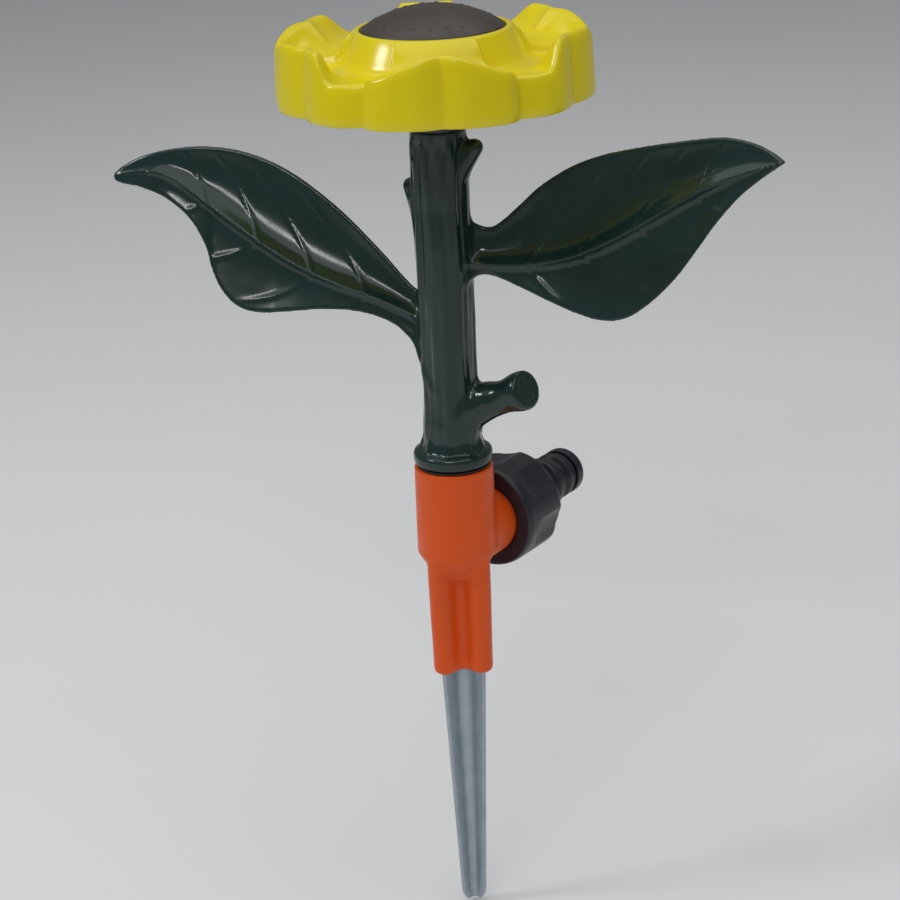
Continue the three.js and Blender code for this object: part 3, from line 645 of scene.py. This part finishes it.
def leaf_distance(volume, leaf):
    side = leaf["side"]
    upper, rib, lower = (curve_through(leaf[key]) for key in ("upper", "rib", "lower"))
    outline = np.concatenate([upper, lower[::-1]])
    out, z = np.broadcast_arrays(side * volume.x[:, 0, :], volume.z[0])
    flat = outline_distance(out, z, outline)
    rib_z = np.interp(out, rib[:, 0], rib[:, 1])
    upper_z = np.interp(out, upper[:, 0], upper[:, 1])
    lower_z = np.interp(out, lower[:, 0], lower[:, 1])
    above = z > rib_z
    share = np.where(above, (z - rib_z) / np.maximum(upper_z - rib_z, 0.5),
                     (rib_z - z) / np.maximum(rib_z - lower_z, 0.5))
    share = np.clip(share, 0, 1.15)
    width = np.where(above, upper_z - rib_z, rib_z - lower_z)
    fullness = np.clip(width / 22, 0, 1)
    upper_hollow = 2.8 * np.sin(np.pi * np.clip(share, 0, 1) ** 0.85)
    lower_hollow = 4.0 * (1 - np.exp(-share / 0.16)) * (1 - np.clip(share, 0, 1)) ** 0.9
    hollow = np.where(above, upper_hollow, lower_hollow) * fullness
    nose = 1.2 * np.exp(-((z - rib_z) / 2.3) ** 2) * smooth_step(-out, -118, -95)
    middle = (z - rib_z) * LEAF_LEAN + hollow
    thickness = LEAF_THICKNESS * (0.72 + 0.28 * smooth_step(-flat, 0, 6)) + nose
    raised = VEIN_HEIGHT * vein_pattern(out, z, rib, upper, lower) * smooth_step(-flat, 1.0, 4.0)
    front = middle - nose - raised
    back = middle + thickness - nose
    centre = (front + back) / 2
    half = (back - front) / 2
    sheet = (np.abs(volume.y - centre[:, None, :]) - half[:, None, :]) / LEAF_SLOPE
    return smooth_max(sheet, flat[:, None, :] + 0.35, 1.6)


def limb_distance(volume, start, end, start_radius, end_radius):
    """Distance to a round limb that tapers from one point to another."""
    a, b = np.array(start, float), np.array(end, float)
    axis = b - a
    px, py, pz = volume.x - a[0], volume.y - a[1], volume.z - a[2]
    t = np.clip((px * axis[0] + py * axis[1] + pz * axis[2]) / (axis @ axis), 0, 1)
    away = np.sqrt((px - t * axis[0]) ** 2 + (py - t * axis[1]) ** 2 + (pz - t * axis[2]) ** 2)
    return away - (start_radius + (end_radius - start_radius) * t)


def cut_branch_distance(volume):
    """The stub of a cut branch, with a flat slanted end that flares a little."""
    limb = limb_distance(volume, (0, 0, 97), (14, -0.5, 107.0), 9.0, 6.0)
    limb = smooth_min(limb, limb_distance(volume, (12, -0.4, 105.2), (27, -2.7, 111.4), 6.1, 6.0), 3.0)
    end = np.array([30.1, -3.1, 112.7])
    limb = smooth_min(limb, limb_distance(volume, (28, -2.8, 111.9), (34, -3.6, 114.3), 6.8, 7.3), 3.0)
    face = np.array([0.88, -0.30, 0.36])
    face /= np.linalg.norm(face)
    dx, dy, dz = volume.x - end[0], volume.y - end[1], volume.z - end[2]
    ahead = dx * face[0] + dy * face[1] + dz * face[2]
    spot = np.sqrt(dx ** 2 + dy ** 2 + dz ** 2)
    year_rings = 0.2 * np.sin(spot * 3.3) * smooth_step(-spot, -6.4, -4.8)
    return smooth_max(limb, ahead + year_rings, 1.1)


def flange_distance(volume, away):
    """The disc at the stem's foot, with rounded edges."""
    edge = 1.8
    middle = (FLANGE_BOTTOM + FLANGE_TOP) / 2
    beyond = away - (FLANGE_RADIUS - edge)
    above = np.abs(volume.z - middle) - ((FLANGE_TOP - FLANGE_BOTTOM) / 2 - edge)
    outside = np.hypot(np.maximum(beyond, 0), np.maximum(above, 0))
    return outside + np.minimum(np.maximum(beyond, above), 0) - edge


def stem_distance(volume):
    heights, radii = np.array(STEM_PROFILE).T
    z = volume.z
    radius = np.interp(z, heights, radii)
    bearing = np.arctan2(volume.y, volume.x)
    away = np.hypot(volume.x, volume.y)
    bark_zone = smooth_step(z, 90, 96) * smooth_step(-z, -205, -200)
    drift = 0.9 * np.sin(z / 23.0) + 0.5 * np.sin(z / 9.7 + 1.3)
    bark = 0.30 * np.sin(7 * bearing + drift) + 0.22 * np.sin(12 * bearing - 1.4 * drift + z / 31)
    bark += 0.18 * np.sin(19 * bearing + 2.1 * drift - z / 14) + 0.25 * np.sin(2 * bearing + z / 27)
    ribs = 0.8 * np.clip(np.cos(9 * bearing + 0.4), 0, 1) * np.exp(-((z - 89.5) / 3.4) ** 2)
    trunk = away - radius - bark_zone * bark - ribs
    trunk = smooth_min(trunk, flange_distance(volume, away), 1.8)
    return np.maximum(trunk, np.maximum(STEM_PROFILE[0][0] - z, z - STEM_PROFILE[-1][0]))


KNOTS = [                           # start, end and the radius at each
    ((7.5, 0, 192), (13.2, 0, 199.4), 4.2, 3.1), ((-5, 0, 171), (-10.7, 0, 185.0), 5.0, 3.0),
]
STEM_PITCH = 0.5                    # spacing of the volumes' sample points
BASE_PITCH = 0.3


def build_stem():
    volume = Volume((-130, -17, 58), (125, 20, 221), STEM_PITCH)
    away = np.hypot(volume.x, volume.y)
    solid = smooth_min(stem_distance(volume), cut_branch_distance(volume), 3.5)
    for start, end, thick, thin in KNOTS:
        solid = smooth_min(solid, limb_distance(volume, start, end, thick, thin), 2.4)
    for leaf in LEAVES:
        solid = smooth_min(solid, leaf_distance(volume, leaf), 4.5)
    solid = np.maximum(solid, WATER_RADIUS - away)
    solid = np.maximum(solid, np.minimum(FLANGE_BOTTOM - volume.z, away - SPIGOT_RADIUS))
    for height, half in SPIGOT_GROOVES:
        solid = np.maximum(solid, np.minimum(away - GROOVE_RADIUS, half - np.abs(volume.z - height)))
    vertices, quads = volume.skin(solid)
    piece = mesh_object("leafed_stem", vertices, quads, GREEN, "stem_and_head", ["stem"],
                        turned=True)
    relax(piece, 3)


# ---- base ----

def stadium(u, v, reach, half):
    """Flat distance to a bar with round ends."""
    return np.hypot(np.maximum(np.abs(u) - (reach - half), 0), v) - half


def holder_distance(volume):
    """The four ribs in a cross that hold the spike, a little slimmer towards the ground."""
    cos, sin = math.cos(HOLDER_TURN), math.sin(HOLDER_TURN)
    z = volume.z
    widen = 1.0 + 0.045 * smooth_step(-z, -40, 0)
    u = (cos * volume.x + sin * volume.y) * widen
    v = (cos * volume.y - sin * volume.x) * widen
    along, across = (stadium(*pair, HOLDER_REACH, HOLDER_HALF) for pair in ((u, v), (v, u)))
    ribs = smooth_min(along, across, 3.4)
    return smooth_max(ribs, np.maximum(-z, z - BODY_BOTTOM), 2.8)


def build_base():
    volume = Volume((-16, -16, -1), (16, 33, 83), BASE_PITCH)
    x, y, z = volume.x, volume.y, volume.z
    away = np.hypot(x, y)
    inlet = np.hypot(x, z - INLET_HEIGHT)
    slope = (BODY_FOOT_RADIUS - CONE_RADIUS) / (BODY_BOTTOM - HOLDER_TOP)
    depth = np.clip((BODY_TOP - z) / (BODY_TOP - BODY_BOTTOM), 0, 1)
    radius = BODY_RADIUS + (BODY_FOOT_RADIUS - BODY_RADIUS) * depth
    cone = (away - CONE_RADIUS - (z - HOLDER_TOP) * slope) / math.hypot(1, slope)
    upright = np.maximum(smooth_max(away - radius, cone, 0.5), HOLDER_TOP - z)
    boss = smooth_max(inlet - BOSS_RADIUS, np.maximum(y - BOSS_END, -y), 0.9)
    housing = smooth_min(upright, boss, 0.9)
    body = smooth_min(housing, holder_distance(volume), 1.2)
    body = smooth_max(body, z - BODY_TOP, 0.7)
    turns = (y - np.arctan2(z - INLET_HEIGHT, x) / FULL_TURN * THREAD_PITCH) / THREAD_PITCH
    crest = THREAD_RADIUS - 0.6 + 0.3 * np.sin(turns * FULL_TURN)
    body = np.minimum(body, np.maximum(inlet - crest, np.maximum(y - THREAD_END, -y)))
    hollows = [
        np.maximum(away - SOCKET_RADIUS, SOCKET_BOTTOM - z),
        np.maximum(away - CLIP_GROOVE_RADIUS, np.abs(z - CLIP_HEIGHT) - 1.3),
        np.maximum(away - PORT_RADIUS, np.maximum(INLET_HEIGHT - z, z - 60)),
        np.maximum(inlet - INLET_BORE, -3 - y),
    ]
    for hollow in hollows:
        body = np.maximum(body, -hollow)
    vertices, quads = volume.skin(body)
    piece = mesh_object("orange_body", vertices, quads, ORANGE, "base", ["base_body"])
    relax(piece, 2)


SPIKE_TIP = -101.0
SPIKE_TOP = 30.0
SPIKE_SHEET = 1.6
SPIKE_ARM_TOP = 11.9                # length of one flank at the ground line
SPIKE_ARM_TIP = 6.7
SPIKE_SNUB = 5                      # length of the rounded tip


def spike_section(z):
    """The rounded V of the spike at one height, snubbed at the tip."""
    arm = SPIKE_ARM_TIP + (SPIKE_ARM_TOP - SPIKE_ARM_TIP) * min(1, (z - SPIKE_TIP) / -SPIKE_TIP)
    snub = 1 - min(1, (z - SPIKE_TIP) / SPIKE_SNUB)
    end = arm - 2.0 * snub ** 2 - SPIKE_SHEET
    edge = 0.55
    return eased([(-SPIKE_SHEET, SPIKE_SHEET, 5.6), (end, SPIKE_SHEET, edge), (end, 0.0, edge),
                  (0.0, 0.0, 5.2), (0.0, -end, edge), (-SPIKE_SHEET, -end, edge)], steps=12)


def build_spike():
    cos, sin = math.cos(HOLDER_TURN), math.sin(HOLDER_TURN)
    heights = [SPIKE_TIP, SPIKE_TIP + 0.4, SPIKE_TIP + 1.2, SPIKE_TIP + 2.5, SPIKE_TIP + SPIKE_SNUB,
               -80, -60, -40, -20, 0, SPIKE_TOP]
    rows = []
    for z in heights:
        u, v = spike_section(z).T
        rows.append(np.stack([cos * u - sin * v, sin * u + cos * v, np.full(len(u), z)], -1))
    count = len(rows[0])
    faces = grid_faces(len(rows), count, False, True)
    faces.append(tuple(range(count)))
    faces.append(tuple(range(len(rows) * count - count, len(rows) * count)))
    mesh_object("steel_spike", np.concatenate(rows), faces, STEEL, "base", ["ground_spike"])


# ---- hose connector ----

SCOOP_RADIUS = 22.0                 # curvature of the nut's hollow flats
SCOOP_DEPTH = 2.0
CONNECTOR_PROFILE = [               # radius, distance along the inlet, round-off
    (13.5, NUT_START, 0.4), (NUT_RADIUS - 0.6, NUT_START, 0.8), (NUT_RADIUS, NUT_START + 2, 0.8),
    (NUT_RADIUS, NUT_START + 4.4, 0), (NUT_RADIUS, NUT_START + 6, 0), (NUT_RADIUS, NUT_START + 7.5, 0),
    (NUT_RADIUS, NUT_START + 9, 0), (NUT_RADIUS, NUT_START + 14, 0), (NUT_RADIUS, NUT_END - 4.4, 1.2),
    (NUT_RADIUS - 3.6, NUT_END - 0.6, 1.8), (10.6, NUT_END, 0.8), (8.2, NUT_END + 1.0, 1.2),
    (7.4, NUT_END + 4, 1), (7.2, NUT_END + 9.8, 1.0), (9.8, NUT_END + 11.4, 0.7), (9.8, NUT_END + 15, 0.7),
    (7.2, NUT_END + 16.5, 0.8), (7.2, NUT_END + 19.3, 0.5), (NIPPLE_RADIUS, NUT_END + 20.4, 0.4),
    (NIPPLE_RADIUS, O_RING_AT - 1.6, 0.3), (6.0, O_RING_AT - 1.6, 0.1), (6.0, O_RING_AT + 1.6, 0.1),
    (NIPPLE_RADIUS, O_RING_AT + 1.6, 0.3), (NIPPLE_RADIUS, NIPPLE_END - 1.6, 0.8),
    (NIPPLE_RADIUS - 1.6, NIPPLE_END, 0.4), (NIPPLE_BORE, NIPPLE_END, 0.4),
    (NIPPLE_BORE, NUT_SEAT + 6, 0.5), (7.6, NUT_SEAT + 3, 0.5), (7.6, NUT_SEAT, 0.1), (13.5, NUT_SEAT, 0.1),
]


def scooped_radius(angles, y, radius):
    """The nut's radius: its turned outline with broad hollow flats cut into it."""
    depth = SCOOP_DEPTH * smooth_step(y, NUT_START + 4.5, NUT_START + 9.0)
    span = FULL_TURN / NUT_SCOOPS
    off = (angles - NUT_TURN + span / 2) % span - span / 2
    centre = NUT_RADIUS + SCOOP_RADIUS - depth
    inside = np.maximum(SCOOP_RADIUS ** 2 - (centre * np.sin(off)) ** 2, 0)
    flat = centre * np.cos(off) - np.sqrt(inside)
    return smooth_min(radius, flat, 0.5)


def build_connector():
    path = eased(CONNECTOR_PROFILE)
    sides = 240
    angles = np.arange(sides)[:, None] / sides * FULL_TURN
    radius = np.broadcast_to(path[None, :, 0], (sides, len(path)))
    y = np.broadcast_to(path[None, :, 1], (sides, len(path)))
    on_nut = (y < NUT_END + 0.5) & (radius > 14.5)
    radius = np.where(on_nut, scooped_radius(angles, y, radius), radius)
    points = np.stack([radius * np.cos(angles), radius * np.sin(angles), y], -1).reshape(-1, 3)
    mesh_object("nut_and_nipple", along_inlet(points), grid_faces(sides, len(path), True, True), BLACK,
                "hose_connector", ["tap_connector"])
    points, faces = lathe(o_ring(7.5, 1.1, O_RING_AT))
    mesh_object("nipple_ring", along_inlet(points), faces, RUBBER, "hose_connector", ["nipple_o_ring"])


# ---- gasket and water cup ----

CUP_PROFILE = [                     # radius, height, round-off
    (8.3, 206.5, 0.3), (11.4, 206.5, 0.5), (12, 208, 0.4), (12, 221, 1.5), (18.6, 225, 1.2),
    (18.6, 231.2, 0.4), (24.4, 231.2, 0.5), (24.4, 234.4, 0.3), (18.6, 234.4, 0.2),
    (18.6, 236, 0.3), (14.6, 236, 0.3),
    (14.6, 226, 1.5), (9, 223.6, 0.5), (5.5, 223.6, 0.3), (5.5, 221, 0.2), (8.3, 221, 0.2),
]


def build_small_parts():
    washer = ring_profile(SOCKET_RADIUS, BODY_RADIUS - 0.9, BODY_TOP + GAP, FLANGE_BOTTOM - GAP, 0.2)
    points, faces = lathe(washer)
    mesh_object("flange_gasket", points, faces, RUBBER, "base", ["flange_washer"])
    points, faces = lathe(CUP_PROFILE)
    mesh_object("feed_cup", points, faces, BLACK, "stem_and_head", ["water_cup"])


def finish_cad_nodes():
    """Gives every CAD piece its material. The replaced ones are hidden."""
    looks = {
        "rubber": RUBBER, "white_plastic": WHITE, "galvanised_steel": STEEL, "black_plastic": BLACK,
        "orange_plastic": ORANGE, "green_plastic": GREEN, "yellow_plastic": YELLOW,
        "brown_plastic": BROWN,
    }
    for part in frame["record"]["subparts"]:
        node = frame["nodes"][part["node"]]
        for place in node.material_slots:
            place.material = looks[part["material_slot"]]


bpy.context.scene.view_settings.view_transform = "Standard"
add_camera()
add_surroundings()
build_flower()
build_rose()
build_stem()
build_base()
build_spike()
build_connector()
build_small_parts()
finish_cad_nodes()
